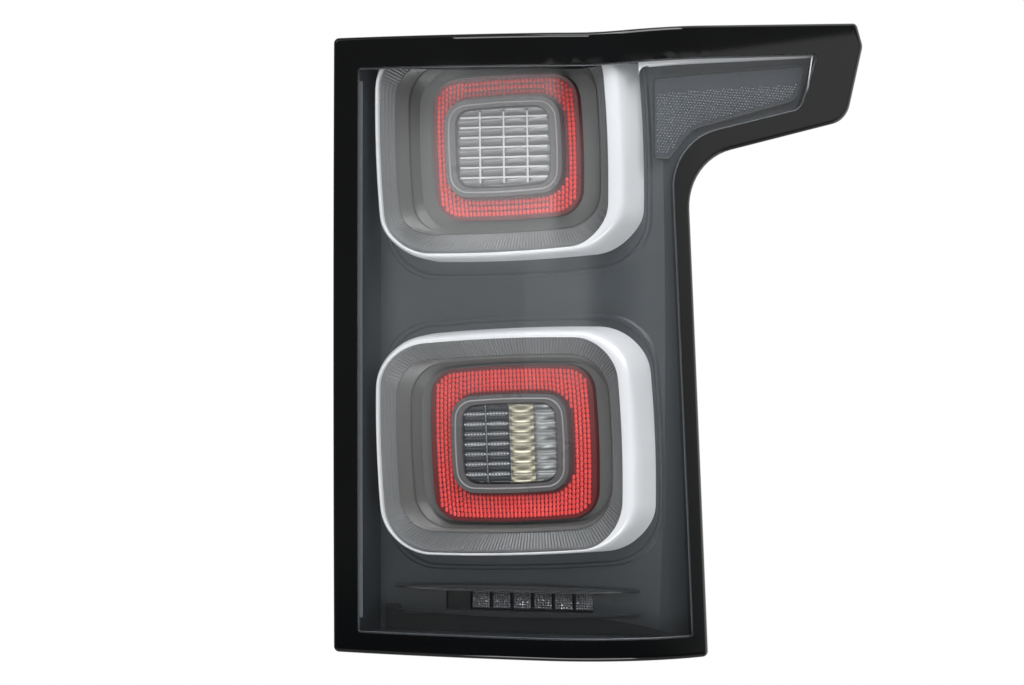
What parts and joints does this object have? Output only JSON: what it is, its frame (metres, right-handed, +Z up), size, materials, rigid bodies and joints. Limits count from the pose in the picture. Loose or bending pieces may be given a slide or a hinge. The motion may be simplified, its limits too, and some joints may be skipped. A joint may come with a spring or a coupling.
{
  "type": "rear combination lamp (tail light)",
  "caption": "Wrap-round tail light with a clear window in a black frame, square chrome-ringed lamps with red frames, a strip lamp and an arm along the body side.",
  "frame": {"origin": "midway between the two inboard fixing holes, on the face of the ears that meets the body", "axes": "+X outboard, +Y forward into the car body, +Z up"},
  "size_m": [0.3432, 0.2913, 0.4822],
  "materials": {
    "clear_lens": "clear gloss",
    "light_guide": "clear, finely ribbed",
    "black_gloss": "piano black",
    "black_plastic": "moulded grain",
    "bezel_grey": "satin",
    "chrome": "plated",
    "dish_grey": "satin",
    "red_lens": "fluted red",
    "trim_grey": "satin",
    "reflector": "metallised",
    "reflex_grey": "honeycomb",
    "board": "solder resist",
    "diode": "phosphor",
    "connector_plastic": "moulded",
    "terminal": "tinned",
    "rubber": "matt",
    "foam": "open foam",
    "steel": "zinc plated"
  },
  "bodies": {
    "root": {"arm_chrome_strip": "chrome", "arm_reflex_plate": "reflex_grey", "bezel": "bezel_grey", "body_gasket": "foam", "breather_caps": "rubber", "connector": "connector_plastic", "connector_seal": "rubber", "connector_terminals": "terminal", "fixing_bushes": "steel", "housing": "black_plastic", "lens_frame": "black_gloss", "lens_window": "clear_lens", "locating_pins": "steel", "lower_board": "board", "lower_centre_lens": "clear_lens", "lower_centre_trim": "trim_grey", "lower_chrome_ring": "chrome", "lower_diodes": "diode", "lower_dish": "dish_grey", "lower_light_guide": "light_guide", "lower_red_lens": "red_lens", "lower_reflector": "reflector", "screws": "steel", "strip_board": "board", "strip_carrier": "black_plastic", "strip_diodes": "diode", "strip_lens": "clear_lens", "upper_board": "board", "upper_centre_lens": "clear_lens", "upper_centre_trim": "trim_grey", "upper_chrome_ring": "chrome", "upper_diodes": "diode", "upper_dish": "dish_grey", "upper_light_guide": "light_guide", "upper_red_lens": "red_lens", "upper_reflector": "reflector"}
  },
  "joints": []
}
